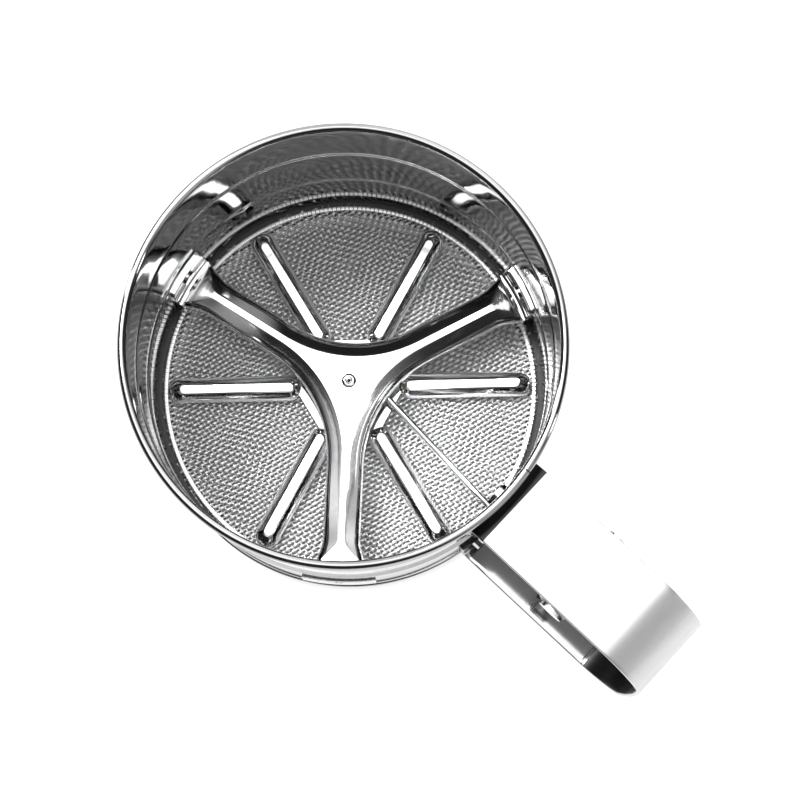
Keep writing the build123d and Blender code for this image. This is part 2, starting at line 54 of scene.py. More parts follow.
# Cup, in millimetres
WALL_IN = 50.3
WALL_OUT = 50.9
CUP_TOP = 86.0
RIM_R = 1.1
RIM_BORE = 0.5
HEM_R = 51.5
HEM_TOP = 3.5
BEADS = (38.0, 64.0)
BEAD_HALF = 1.9
BEAD_DEPTH = 0.5
EYELET_ANGLE = math.radians(1.6)
EYELET_Z = 20.0
EYELET_BORE = 2.65
SLIT_ANGLE = math.radians(8.2)
SLIT_HALF = 0.15

# Mesh and its ring
MESH_MID = 12.3
MESH_R = 49.7
PITCH_WARP = 1.13
PITCH_WEFT = 1.18
WEAVE_ANGLE = -11.0
WEFT_TURN = 84.8
WARP_R = 0.25
WEFT_R = 0.45
CRIMP = (WARP_R + WEFT_R) / 2
RING_Z = 13.23
RING_R = 48.35
RING_HALF_WIDTH = 0.6
RING_HALF_HEIGHT = 0.5
RING_SQUARENESS = 0.4
RING_BEADS = 270
RING_BEAD_DEPTH = 0.11

# Bridge
BRIDGE_TOP = 27.0
BRIDGE_LOW = 22.8
BRIDGE_ANGLES = (-49.4, 70.6, 190.6)
ARM_HALF = 4.8
ARM_FLARE = 6.9
FLARE_START = 41.0
ARM_END = 48.9
HIP = 1.7
WEB_R = 31.0
BRIDGE_T = 1.0
DEEPEST_INSET = 4.2
# How far in from the outline and how far below the top each ring of the rolled side is
BRIDGE_ROLL = [
    (0.0, 4.2), (0.0, 3.0), (0.1, 2.55), (0.3, 2.15), (0.6, 1.80), (1.0, 1.46), (1.5, 1.15), (2.1, 0.87),
    (2.85, 0.52), (3.5, 0.22), (3.85, 0.07), (4.02, 0.012), (4.15, 0.0),
]
# Radius, and height from the bridge's top, along each face of a turned-up end
TAB_INSIDE = [
    (47.2, -1.46), (47.8, -1.68), (48.3, -1.66), (48.75, -1.38), (49.05, -0.85), (49.22, -0.2), (49.3, 0.6),
    (49.3, 5.0),
]
TAB_OUTSIDE = [(50.28, 5.0), (50.28, -0.4), (50.1, -1.4), (49.5, -2.2), (48.6, -2.65), (47.2, -2.7)]
PIN_R = 1.5
PIN_END = 13.2
# Radius, and height from the bridge's top, over the pin's riveted head
PIN_HEAD = [
    (0.0, 0.0), (0.4, 0.0), (0.56, 0.14), (0.72, 0.44), (0.9, 0.65), (1.1, 0.7), (1.32, 0.66), (1.55, 0.5),
    (1.75, 0.26), (1.87, 0.04), (1.88, 0.0),
]

# Agitator
PLATE_LOW = 14.8
PLATE_TOP = 15.6
ARM_ANGLE = 44.4
RIB_ROOT = 12.6
RIB_TIP = 47.6
RIB_HALF = 3.3
RIB_T = 0.8
TIP_HIP = 0.45
# How far in from the outline and how far above the plate's underside each ring of a rib is
RIB_RISE = [
    (0.0, 0.0), (0.0, 0.3), (0.22, 0.85), (0.55, 1.32), (0.95, 1.75), (1.35, 2.15), (1.7, 2.5),
    (1.95, 2.74), (2.15, 2.86), (2.35, 2.9), (2.5, 2.9),
]
RIB_DEEPEST_INSET = 2.9
HUB_APOTHEM = 12.5
BUSH_BORE = 2.5
SLOT_ANGLE = math.radians(125.0)
SLOT_ENDS = (3.75, 5.65)
SLOT_HALF = 1.25

# Handle
STRAP_HALF = 11.0
STRAP_T = 1.0
STRAP_EDGE_R = 0.3
STRAP_TOP = 79.0
STRAP_LOW = 3.5
STRAP_END = 106.4
CORNER_R = 14.5
BEND_R = 3.0
UP_BEND_R = 3.7
BOW = 2.2
BOW_START = 88.0
FLANGE_UP_END = 66.0
FLANGE_LOW_END = 15.2
PIVOT_X = 77.0
PIVOT_Z = 73.3
EAR_R = 3.7
EAR_BEVEL = 0.15
LOW_LEG_TILT = math.tan(math.radians(2.9))


# ---------------------------------------------------------------- meshes

def make_object(name, verts, faces, smooth=True, sharp=None):
    """An object from vertices in millimetres and faces."""
    data = bpy.data.meshes.new(name)
    data.from_pydata((np.asarray(verts, float) * MM).tolist(), [], [list(map(int, f)) for f in faces])
    data.update()
    data.validate()
    if smooth:
        data.shade_smooth()
    if sharp is not None:
        data.set_sharp_from_angle(angle=math.radians(sharp))
    obj = bpy.data.objects.new(name, data)
    bpy.context.scene.collection.objects.link(obj)
    return obj


def grid_faces(rows, cols, close_rows=False, close_cols=False, flip=False):
    """Quads over a rows by cols grid of vertices."""
    r = np.arange(rows if close_rows else rows - 1)
    c = np.arange(cols if close_cols else cols - 1)
    rr, cc = np.meshgrid(r, c, indexing="ij")
    r2, c2 = (rr + 1) % rows, (cc + 1) % cols
    quads = np.stack([rr * cols + cc, rr * cols + c2, r2 * cols + c2, r2 * cols + cc], -1).reshape(-1, 4)
    return quads[:, ::-1] if flip else quads


def join_parts(parts):
    """Several (verts, faces) joined in one pair."""
    verts, faces, base = [], [], 0
    for v, f in parts:
        verts.append(np.asarray(v, float).reshape(-1, 3))
        faces.extend([[int(i) + base for i in face] for face in f])
        base += len(verts[-1])
    return np.vstack(verts), faces


def revolved(profile, steps=360):
    """A closed (radius, height) profile turned about the cup's axis."""
    p = np.asarray(profile, float)
    a = np.linspace(0, 2 * math.pi, steps, endpoint=False)
    verts = np.stack([
        p[None, :, 0] * np.cos(a)[:, None],
        p[None, :, 0] * np.sin(a)[:, None],
        np.repeat(p[None, :, 1], steps, 0),
    ], -1).reshape(-1, 3)
    return verts, grid_faces(steps, len(p), True, True)


def arc(cx, cz, r, start, end, n):
    """Points on an arc, from one angle in degrees to another."""
    t = np.radians(np.linspace(start, end, n))
    return [(cx + r * math.cos(a), cz + r * math.sin(a)) for a in t]


def wall_heights():
    """Heights along the wall, close together over each bead."""
    out = [HEM_TOP, 8.0, 20.0, 30.0]
    for z in BEADS:
        out += list(z + np.linspace(-BEAD_HALF, BEAD_HALF, 17))
    out += [45.0, 56.0, 72.0, 80.0]
    return sorted(out)


def bead(z):
    """How far the wall bulges out at a height."""
    for centre in BEADS:
        t = (z - centre) / BEAD_HALF
        if abs(t) < 1:
            return BEAD_DEPTH * 0.5 * (1 + math.cos(math.pi * t))
    return 0.0


def cup_profile():
    """The whole section of the cup: inside, rolled rim, outside and hem."""
    cz = CUP_TOP - RIM_R
    cx = WALL_IN + RIM_R
    heights = wall_heights()
    p = [(WALL_IN, 0.15)]
    p += [(WALL_IN + bead(z), z) for z in heights]
    p += arc(cx, cz, RIM_R, 180, -90, 25)
    p += arc(cx, cz, RIM_BORE, -90, 180, 13)
    p += [(WALL_OUT + bead(z), z) for z in reversed(heights) if z > HEM_TOP]
    p += [(WALL_OUT, HEM_TOP), (HEM_R - 0.2, HEM_TOP), (HEM_R, HEM_TOP - 0.2)]
    p += [(HEM_R, 0.2), (HEM_R - 0.2, 0.0), (WALL_IN + 0.15, 0.0)]
    return p[::-1]


def cut(obj, tool):
    """Cuts one closed mesh out of another and removes it."""
    mod = obj.modifiers.new("hole", "BOOLEAN")
    mod.operation = "DIFFERENCE"
    mod.solver = "EXACT"
    mod.object = tool
    dg = bpy.context.evaluated_depsgraph_get()
    holed = bpy.data.meshes.new_from_object(obj.evaluated_get(dg))
    obj.modifiers.clear()
    obj.data = holed
    bpy.data.objects.remove(tool)


def arm_half(x):
    """Half-width of a bridge arm at a distance from the axis."""
    t = min(max((x - FLARE_START) / (ARM_END - FLARE_START), 0.0), 1.0)
    return ARM_HALF + (ARM_FLARE - ARM_HALF) * (t * t * (3 - 2 * t) * 0.6 + t * 0.4)


def bridge_outline(inset, n_arm=26, n_arc=30):
    """The bridge's outline, moved in by a distance, with the same points for any inset."""
    web = WEB_R + inset
    cy = ARM_HALF - inset + web
    cx = cy / math.tan(math.radians(60))
    end = ARM_END - HIP * inset
    side = [(x, arm_half(x) - inset) for x in np.linspace(end, cx, n_arm)]
    sector = side + arc(cx, cy, web, -90, -150, n_arc)[1:]
    c, s = math.cos(math.radians(120)), math.sin(math.radians(120))
    sector += [(x * c + y * s, x * s - y * c) for x, y in reversed(side[:-1])]
    pts = []
    for a in BRIDGE_ANGLES:
        c, s = math.cos(math.radians(a)), math.sin(math.radians(a))
        pts += [(x * c - y * s, x * s + y * c) for x, y in sector]
    return np.array(pts)


def stack_rings(rings, cap_first=True):
    """Rings with the same number of points joined in a skin, with a flat face at the last and maybe at the first."""
    n = len(rings[0])
    verts = np.vstack(rings)
    faces = [list(f) for f in grid_faces(len(rings), n, False, True)]
    faces.append([(len(rings) - 1) * n + i for i in range(n)])
    if cap_first:
        faces.append(list(reversed(range(n))))
    return verts, faces


def ring_at(outline, z):
    """A flat outline lifted to a height."""
    return np.column_stack([outline, np.full(len(outline), z)])


def bridge_shape():
    """The pressed bridge: flat in the middle, its sides rolled down all along the outline."""
    crown = [(i, BRIDGE_TOP - drop) for i, drop in BRIDGE_ROLL]
    outer = [ring_at(bridge_outline(i), z) for i, z in crown]
    # Under the steep side the sheet's full thickness lies inwards, under the crest less of it.
    steep, crest = 0.999, 0.4
    under = [(i + (steep if i < 2 else crest), z - BRIDGE_T) for i, z in crown[1:]]
    inner = [ring_at(bridge_outline(min(i, DEEPEST_INSET)), z) for i, z in under]
    lip = ring_at(bridge_outline(BRIDGE_T), BRIDGE_LOW)
    skin = stack_rings(outer, cap_first=False)
    v, f = stack_rings([outer[0], lip, *inner], cap_first=False)
    return skin, (v, [face[::-1] for face in f])


def turned_sheet(profile, half, radius, angle, steps=25, corner=1.2):
    """A bent sheet's closed section turned through the width of an arm's end."""
    spread = math.asin(half / radius)
    a = math.radians(angle) + np.linspace(-spread, spread, steps)
    p = np.asarray(profile, float)
    top = p[:, 1].max()
    verts = []
    for k, t in enumerate(a):
        edge = abs(k - (steps - 1) / 2) / ((steps - 1) / 2) * half
        drop = max(0.0, edge - (half - corner))
        limit = top - (corner - math.sqrt(max(corner ** 2 - drop ** 2, 0.0)))
        z = np.minimum(p[:, 1], limit)
        verts.append(np.column_stack([p[:, 0] * math.cos(t), p[:, 0] * math.sin(t), z]))
    return stack_rings(verts)


def tab_shape(angle):
    """One turned-up end of the bridge, lying on the wall."""
    section = [(r, BRIDGE_TOP + z) for r, z in TAB_INSIDE + TAB_OUTSIDE]
    return turned_sheet(section, ARM_FLARE, WALL_IN, angle)


def capsule(inset, root, tip, half, n=20):
    """A rib's outline in plan along X, moved in by a distance."""
    r = half - inset
    a = arc(tip - half - TIP_HIP * inset, 0, r, -90, 90, n)
    b = arc(root + half, 0, r, 90, 270, n)
    return np.array(a + b)


def turned(points, angle):
    """Plan points turned about the axis."""
    c, s = math.cos(math.radians(angle)), math.sin(math.radians(angle))
    return np.column_stack([points[:, 0] * c - points[:, 1] * s, points[:, 0] * s + points[:, 1] * c])


def rib_shape(angle):
    """One hollow rib of the agitator."""
    def ring(inset, z):
        return ring_at(turned(capsule(inset, RIB_ROOT, RIB_TIP, RIB_HALF), angle), z)

    crown = [(i, PLATE_LOW + rise) for i, rise in RIB_RISE]
    outer = [ring(i, z) for i, z in crown]
    inner = [ring(min(i + RIB_T, RIB_DEEPEST_INSET), z - RIB_T) for i, z in crown[2:]]
    lip = ring(RIB_T, PLATE_LOW)
    skin = stack_rings(outer, cap_first=False)
    v, f = stack_rings([outer[0], lip, *inner], cap_first=False)
    return join_parts([skin, (v, [face[::-1] for face in f])])


def beaded_ring(steps=2160, sides=18):
    """The ring that holds the mesh down, with the weave pressed into it all the way round."""
    a = np.linspace(0, 2 * math.pi, steps, endpoint=False)
    t = np.linspace(0, 2 * math.pi, sides, endpoint=False)
    bumps = 1 + RING_BEAD_DEPTH * np.cos(a * RING_BEADS)[:, None]
    flat_cos = np.sign(np.cos(t)) * np.abs(np.cos(t)) ** RING_SQUARENESS
    flat_sin = np.sign(np.sin(t)) * np.abs(np.sin(t)) ** RING_SQUARENESS
    r = RING_R + RING_HALF_WIDTH * flat_cos[None, :] * (0.75 + 0.25 * bumps)
    z = RING_Z + RING_HALF_HEIGHT * flat_sin[None, :] * bumps
    verts = np.stack([r * np.cos(a)[:, None], r * np.sin(a)[:, None], z], -1).reshape(-1, 3)
    return verts, grid_faces(steps, sides, True, True, flip=True)


def pin_shape():
    """The pin that the agitator turns on, its upper end riveted over in a dimpled ring."""
    core = 0.02
    profile = [(max(r, core), BRIDGE_TOP + z) for r, z in PIN_HEAD]
    profile += [(PIN_R, BRIDGE_TOP - 0.2), (PIN_R, PIN_END), (core, PIN_END)]
    return revolved(profile[::-1], 64)


def hub_plate():
    """The agitator's six-sided middle, its edges slightly rounded."""
    corners = arc(0, 0, HUB_APOTHEM / math.cos(math.pi / 6), 30, 330, 6)
    flat = turned(np.array(corners), ARM_ANGLE - 30)
    bevel, shrink = 0.1, 0.99
    levels = ((shrink, PLATE_LOW), (1.0, PLATE_LOW + bevel), (1.0, PLATE_TOP - bevel), (shrink, PLATE_TOP))
    return stack_rings([ring_at(flat * k, z) for k, z in levels])


def strap_path():
    """The strap's outer line in side view, from the lower flange's end to the upper one's."""
    pts = []
    low_bend = (WALL_OUT + BEND_R, STRAP_LOW + BEND_R)
    up_bend = (WALL_OUT + UP_BEND_R, STRAP_TOP - UP_BEND_R)
    pts += [(WALL_OUT, z) for z in np.linspace(FLANGE_LOW_END, low_bend[1] + 0.01, 8)]
    pts += arc(*low_bend, BEND_R, 180, 270, 13)
    corner_x = STRAP_END - CORNER_R
    pts += [(x, STRAP_LOW) for x in np.linspace(low_bend[0] + 2, corner_x - 1, 16)]
    pts += arc(corner_x, STRAP_LOW + CORNER_R, CORNER_R, -90, 0, 25)
    pts += [(STRAP_END, z) for z in np.linspace(STRAP_LOW + CORNER_R + 2, STRAP_TOP - CORNER_R - 2, 10)]
    pts += arc(corner_x, STRAP_TOP - CORNER_R, CORNER_R, 0, 90, 25)
    pts += [(x, STRAP_TOP) for x in np.linspace(corner_x - 1, up_bend[0] + 2, 16)]
    pts += arc(*up_bend, UP_BEND_R, 90, 180, 17)
    pts += [(WALL_OUT, z) for z in np.linspace(up_bend[1] - 0.01, FLANGE_UP_END, 8)]
    pts = np.array(pts)
    middle = (STRAP_TOP + STRAP_LOW) / 2
    height = (pts[:, 1] - middle) / (STRAP_TOP - middle)
    far = np.clip((pts[:, 0] - BOW_START) / (STRAP_END - BOW_START), 0, 1)
    pts[:, 0] -= BOW * height ** 2 * far * far * (3 - 2 * far)
    return pts


def strap_shape():
    """The strap with rounded edges, its flanges curved to the wall."""
    p = strap_path()
    d = np.gradient(p, axis=0)
    d /= np.linalg.norm(d, axis=1)[:, None]
    inward = np.column_stack([-d[:, 1], d[:, 0]])
    edge, h, t = STRAP_EDGE_R, STRAP_HALF, STRAP_T
    across = list(np.linspace(-h + edge, h - edge, 23))
    section = [(y, 0.0) for y in across]
    section += [(h - edge + edge * math.sin(a), edge - edge * math.cos(a)) for a in np.radians([22, 45, 68, 90])]
    section += [(h - edge + edge * math.cos(a), t - edge + edge * math.sin(a)) for a in np.radians([0, 22, 45, 68])]
    section += [(y, t) for y in reversed(across)]
    section += [(-h + edge - edge * math.sin(a), t - edge + edge * math.cos(a)) for a in np.radians([22, 45, 68, 90])]
    section += [(-h + edge - edge * math.cos(a), edge - edge * math.sin(a)) for a in np.radians([0, 22, 45, 68])]
    section = np.array(section)
    # The lower leg's twist fades out over these lengths: above it, at the cup's end and at the far end.
    level_top, fade_up, level_start, fade_near, fade_far = 20.0, 8.0, 53.5, 5.0, 7.0
    rings = []
    for (x, z), n in zip(p, inward):
        px = x + section[:, 1] * n[0]
        pz = z + section[:, 1] * n[1]
        y = section[:, 0]
        near = np.clip((WALL_OUT + UP_BEND_R - px) / UP_BEND_R, 0, 1)
        px = px - near * (px - np.sqrt(np.maximum(px ** 2 - y ** 2, 0)))
        level = np.clip((level_top - pz) / fade_up, 0, 1) * np.clip((px - level_start) / fade_near, 0, 1)
        level = level * np.clip((STRAP_END - px) / fade_far, 0, 1)
        pz = pz + y * LOW_LEG_TILT * level * level * (3 - 2 * level)
        rings.append(np.column_stack([px, y, pz]))
    return stack_rings(rings)


def ear_shape(side):
    """One lug turned down from the upper leg, with the trigger's pin through it."""
    root = STRAP_TOP - 0.4
    outline = arc(PIVOT_X, PIVOT_Z, EAR_R, 180, 360, 33)
    outline = np.array(outline + [(PIVOT_X + EAR_R, root), (PIVOT_X - EAR_R, root)])
    low, high = sorted((side * STRAP_HALF, side * (STRAP_HALF - STRAP_T)))
    bevel = EAR_BEVEL
    pivot = np.array([PIVOT_X, PIVOT_Z])
    rings = []
    for y, inset in ((low, bevel), (low + bevel, 0.0), (high - bevel, 0.0), (high, bevel)):
        scaled = pivot + (outline - pivot) * (1 - inset / EAR_R)
        rings.append(np.column_stack([scaled[:, 0], np.full(len(outline), y), scaled[:, 1]]))
    return stack_rings(rings)


def woven(pitch_along, pitch_across, angle, phase, wire, radius=MESH_R, sides=6, per=2):
    """One set of the mesh's wires, each going over and under the other set."""
    count = int(radius / pitch_across)
    c, s = math.cos(math.radians(angle)), math.sin(math.radians(angle))
    parts_v, parts_f, base = [], [], 0
    for k in range(-count, count + 1):
        off = k * pitch_across
        half = math.sqrt(max(radius ** 2 - off ** 2, 0))
        n = int(half / pitch_along)
        if n < 2:
            continue
        steps = np.arange(-n * per, n * per + 1)
        u = steps * pitch_along / per
        z = MESH_MID + CRIMP * np.cos(math.pi * (u / pitch_along + k + phase))
        ring = (np.arange(sides) + 0.5) * 2 * math.pi / sides
        v = off + wire * np.cos(ring)[None, :] + np.zeros((len(u), 1))
        w = z[:, None] + wire * np.sin(ring)[None, :]
        uu = np.repeat(u[:, None], sides, 1)
        verts = np.stack([uu * c - v * s, uu * s + v * c, w], -1).reshape(-1, 3)
        faces = grid_faces(len(u), sides, False, True) + base
        parts_v.append(verts)
        parts_f.append(faces)
        base += len(verts)
    return np.vstack(parts_v), np.vstack(parts_f)


def tube(points, radius, sides):
    """A round bar along points."""
    p = np.asarray(points, float)
    n = len(p)
    d = np.gradient(p, axis=0)
    d /= np.linalg.norm(d, axis=1)[:, None]
    ref = np.array([0, 0, 1.0]) if abs(d[0][2]) < 0.9 else np.array([0, 1.0, 0])
    u = np.cross(d[0], ref)
    u /= np.linalg.norm(u)
    rings = []
    a = np.arange(sides) * 2 * math.pi / sides
    for i in range(n):
        u = u - d[i] * (u @ d[i])
        u /= np.linalg.norm(u)
        w = np.cross(d[i], u)
        rings.append(p[i] + radius * (np.cos(a)[:, None] * u + np.sin(a)[:, None] * w))
    return stack_rings(rings)


# ------------------------------------------------------------- materials

def steel(name, tint, rough, grain=(1, 1, 1), grain_scale=900.0, bump=0.02, smear=0.05, blotch=60.0):
    """Polished steel with a fine grain, faint smears and uneven polish."""
    mat = bpy.data.materials.new(name)
    mat.use_nodes = True
    nt = mat.node_tree
    bsdf = nt.nodes["Principled BSDF"]
    bsdf.inputs["Metallic"].default_value = 1.0
    bsdf.inputs["Specular IOR Level"].default_value = 0.5
    coord = nt.nodes.new("ShaderNodeTexCoord")
    mapping = nt.nodes.new("ShaderNodeMapping")
    mapping.inputs["Scale"].default_value = grain
    nt.links.new(coord.outputs["Object"], mapping.inputs["Vector"])
    fine = nt.nodes.new("ShaderNodeTexNoise")
    fine.inputs["Scale"].default_value = grain_scale
    fine.inputs["Detail"].default_value = 3.0
    nt.links.new(mapping.outputs["Vector"], fine.inputs["Vector"])
    broad = nt.nodes.new("ShaderNodeTexNoise")
    broad.inputs["Scale"].default_value = blotch
    broad.inputs["Detail"].default_value = 2.0
    nt.links.new(coord.outputs["Object"], broad.inputs["Vector"])
    spread = nt.nodes.new("ShaderNodeMapRange")
    spread.inputs["To Min"].default_value = max(rough - smear * 0.5, 0.01)
    spread.inputs["To Max"].default_value = rough + smear
    nt.links.new(broad.outputs["Fac"], spread.inputs["Value"])
    nt.links.new(spread.outputs["Result"], bsdf.inputs["Roughness"])
    shade = nt.nodes.new("ShaderNodeValToRGB")
    shade.color_ramp.elements[0].position = 0.3
    shade.color_ramp.elements[0].color = (*[c * 0.94 for c in tint], 1)
    shade.color_ramp.elements[1].position = 0.7
    shade.color_ramp.elements[1].color = (*tint, 1)
    nt.links.new(fine.outputs["Fac"], shade.inputs["Fac"])
    nt.links.new(shade.outputs["Color"], bsdf.inputs["Base Color"])
    dent = nt.nodes.new("ShaderNodeBump")
    dent.inputs["Strength"].default_value = bump
    dent.inputs["Distance"].default_value = 0.0002
    nt.links.new(fine.outputs["Fac"], dent.inputs["Height"])
    nt.links.new(dent.outputs["Normal"], bsdf.inputs["Normal"])
    return mat


def floor_material():
    """Plain pale paper that glows evenly, with a painted shadow under the cup, where the mesh would show it."""
    mat = bpy.data.materials.new("pale_floor")
    mat.use_nodes = True
    nt = mat.node_tree
    bsdf = nt.nodes["Principled BSDF"]
    bsdf.inputs["Roughness"].default_value = 0.9
    bsdf.inputs["Specular IOR Level"].default_value = 0.1
    noise = nt.nodes.new("ShaderNodeTexNoise")
    noise.inputs["Scale"].default_value = 40.0
    ramp = nt.nodes.new("ShaderNodeValToRGB")
    ramp.color_ramp.elements[0].color = (0.38, 0.38, 0.38, 1)
    ramp.color_ramp.elements[1].color = (0.40, 0.40, 0.40, 1)
    nt.links.new(noise.outputs["Fac"], ramp.inputs["Fac"])
    nt.links.new(ramp.outputs["Color"], bsdf.inputs["Base Color"])
    nt.links.new(ramp.outputs["Color"], bsdf.inputs["Emission Color"])
    # Inside the cup's footprint the glow drops low, as a painted shadow.
    dark_to, lit_from = 0.046, 0.053
    coord = nt.nodes.new("ShaderNodeTexCoord")
    span = nt.nodes.new("ShaderNodeVectorMath")
    span.operation = "LENGTH"
    nt.links.new(coord.outputs["Object"], span.inputs[0])
    floor_glow_and_cup_shadow = nt.nodes.new("ShaderNodeMapRange")
    floor_glow_and_cup_shadow.inputs["From Min"].default_value = dark_to
    floor_glow_and_cup_shadow.inputs["From Max"].default_value = lit_from
    floor_glow_and_cup_shadow.inputs["To Min"].default_value = 0.18
    floor_glow_and_cup_shadow.inputs["To Max"].default_value = 2.4
    nt.links.new(span.outputs["Value"], floor_glow_and_cup_shadow.inputs["Value"])
    nt.links.new(floor_glow_and_cup_shadow.outputs["Result"], bsdf.inputs["Emission Strength"])
    return mat


STEEL = (0.86, 0.86, 0.865)
MATERIALS = {
    "cup_steel": steel("cup_polished_steel", (0.32, 0.32, 0.325), 0.06, (1, 1, 0.12), 700, 0.05, 0.05),
    "ring_steel": steel("ring_steel", (0.95, 0.95, 0.95), 0.34, (1, 1, 1), 900, 0.03),
    # Near-black steel for the mesh's support ring, as painted shade at the mesh's edge.
    "ledge_painted_shade": steel("ledge_painted_shade", (0.05, 0.05, 0.05), 0.45, (1, 1, 1), 900, 0.03),
    "mesh_wire": steel("mesh_wire", (0.96, 0.96, 0.96), 0.42, (1, 1, 1), 2500, 0.1, 0.1, 25),
    "bridge_steel": steel("bridge_steel", (0.90, 0.90, 0.90), 0.08, (1, 1, 1), 500, 0.04),
    "plate_steel": steel("plate_steel", (0.58, 0.58, 0.585), 0.10),
    "rivet_steel": steel("rivet_steel", (0.66, 0.66, 0.665), 0.12),
    "pin_steel": steel("pin_steel", (0.82, 0.82, 0.82), 0.12),
    "washer_steel": steel("washer_steel", (0.75, 0.75, 0.76), 0.25),
    "spring_steel": steel("spring_steel", (0.68, 0.68, 0.70), 0.22),
    "agitator_steel": steel("agitator_steel", (0.88, 0.88, 0.885), 0.07),
    "bush_brass": steel("bush_brass", (0.62, 0.54, 0.40), 0.20),
    "rod_steel": steel("rod_steel", (0.80, 0.80, 0.81), 0.12),
    "eyelet_steel": steel("eyelet_steel", STEEL, 0.12),
    "handle_steel": steel("handle_steel", (0.45, 0.45, 0.45), 0.05, (1, 0.15, 1), 600, 0.02, 0.03),
    # The inside, bend and cup-end copies of the handle steel are darker, to paint shade inside the loop, at the cup's
    # end and on the lugs.
    "handle_inside_shade": steel("handle_inside_shade_steel", (0.34, 0.34, 0.34), 0.30, (1, 0.15, 1), 600, 0.04, 0.06),
    "handle_outer": steel("handle_outer_steel", (0.50, 0.50, 0.50), 0.34, (1, 0.15, 1), 600, 0.02, 0.03),
    "handle_cup_end_shade": steel("handle_cup_end_shade_steel", (0.03, 0.03, 0.03), 0.30, (1, 0.15, 1), 600, 0.04, 0.06),
    "handle_bend_shade": steel("handle_bend_shade_steel", (0.07, 0.07, 0.07), 0.30, (1, 0.15, 1), 600, 0.04, 0.06),
    "trigger_steel": steel("trigger_steel", (0.58, 0.58, 0.585), 0.08),
}
SLOTS = {row["node"]: row["material_slot"] for row in frame["record"]["subparts"]}


def paint_shade_in_hollows(mat, low, high, least):
    """Paints shade into a material below a height: the hollows of the weave are darkened as painted shade."""
    nt = mat.node_tree
    coord = nt.nodes.new("ShaderNodeTexCoord")
    split = nt.nodes.new("ShaderNodeSeparateXYZ")
    nt.links.new(coord.outputs["Object"], split.inputs[0])
    level = nt.nodes.new("ShaderNodeMapRange")
    level.inputs["From Min"].default_value = low * MM
    level.inputs["From Max"].default_value = high * MM
    level.inputs["To Min"].default_value = least
    nt.links.new(split.outputs["Z"], level.inputs["Value"])
    shaded_colour = nt.nodes.new("ShaderNodeVectorMath")
    shaded_colour.operation = "SCALE"
    colour = nt.nodes["Principled BSDF"].inputs["Base Color"]
    nt.links.new(colour.links[0].from_socket, shaded_colour.inputs[0])
    nt.links.new(level.outputs["Result"], shaded_colour.inputs["Scale"])
    nt.links.new(shaded_colour.outputs["Vector"], colour)


# The weave's wires are painted darker low down, as painted shade in the hollows.
paint_shade_in_hollows(MATERIALS["mesh_wire"], low=12.25, high=12.95, least=0.50)


def finish_piece(obj, node, body="cup"):
    """Gives a made piece the finish of the CAD node that it stands for, puts it on its body and hides that node."""
    name = SLOTS[node]
    obj.data.materials.clear()
    obj.data.materials.append(MATERIALS[name])
    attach(obj, body)
    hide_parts(node)


def dress_nodes():
    """The finish and smooth shading of every CAD node."""
    for name, obj in NODES.items():
        if name not in SLOTS:
            continue
        for s in range(len(obj.material_slots)):
            obj.material_slots[s].material = MATERIALS[SLOTS[name]]
        # The support ring is painted near black, as painted shade under the mesh's edge.
        if name == "mesh_support_ring":
            obj.material_slots[0].material = MATERIALS["ledge_painted_shade"]
        obj.data.shade_smooth()
        obj.data.set_sharp_from_angle(angle=math.radians(32))


dress_nodes()

cup = make_object("cup_wall", *revolved(cup_profile(), 384))
through_wall, through_rim, slit_heights = (47.0, 55.0), (50.9, 53.5), (83.0, 87.0)
c, s = math.cos(EYELET_ANGLE), math.sin(EYELET_ANGLE)
bore_line = [(r * c, r * s, EYELET_Z) for r in through_wall]
cut(cup, make_object("eyelet_hole", *tube(bore_line, EYELET_BORE, 64)))
c, s = math.cos(SLIT_ANGLE), math.sin(SLIT_ANGLE)
near, far = through_rim
slit_plan = ((near, -SLIT_HALF), (far, -SLIT_HALF), (far, SLIT_HALF), (near, SLIT_HALF))
slit_rings = [np.array([[r * c - side * s, r * s + side * c, z] for r, side in slit_plan]) for z in slit_heights]
cut(cup, make_object("rim_slit", *stack_rings(slit_rings)))
cup.data.set_sharp_from_angle(angle=math.radians(50))
finish_piece(cup, "cup_body")

ring = make_object("mesh_edge_ring", *beaded_ring())
finish_piece(ring, "mesh_retaining_ring")

warp = make_object("mesh_warp", *woven(PITCH_WARP, PITCH_WEFT, WEAVE_ANGLE, 0.0, WARP_R))
weft = make_object("mesh_weft", *woven(PITCH_WEFT, PITCH_WARP, WEAVE_ANGLE + WEFT_TURN, 1.0, WEFT_R))
finish_piece(warp, "sieve_mesh")
finish_piece(weft, "sieve_mesh")

bridge_parts = list(bridge_shape()) + [tab_shape(a) for a in BRIDGE_ANGLES]
bridge = make_object("bridge_pressing", *join_parts(bridge_parts), sharp=40)
finish_piece(bridge, "bridge")

pin = make_object("pin_riveted", *pin_shape(), sharp=50)
finish_piece(pin, "pivot_pin")

ribs = [rib_shape(ARM_ANGLE + 60 * k) for k in range(6)]
stirrer = make_object("agitator_ribs", *join_parts(ribs), sharp=40)
finish_piece(stirrer, "agitator", "agitator")
plate = make_object("agitator_plate", *hub_plate(), smooth=False)
cut(plate, make_object("bush_hole", *tube([(0, 0, 10), (0, 0, 20)], BUSH_BORE, 48)))
for r in SLOT_ENDS:
    x, y = r * math.cos(SLOT_ANGLE), r * math.sin(SLOT_ANGLE)
    cut(plate, make_object("slot_end", *tube([(x, y, 10), (x, y, 20)], SLOT_HALF, 48)))
finish_piece(plate, "agitator", "agitator")

strap = make_object("handle_band", *join_parts([strap_shape(), ear_shape(-1), ear_shape(1)]), sharp=40)
finish_piece(strap, "handle_strap")
STRAP_FINISHES_AND_SHADES = ("handle_steel", "handle_inside_shade", "handle_bend_shade", "handle_outer", "handle_cup_end_shade")
for name in STRAP_FINISHES_AND_SHADES[1:]:
    strap.data.materials.append(MATERIALS[name])
loop_middle = Vector((0.08, 0.0, 0.041))


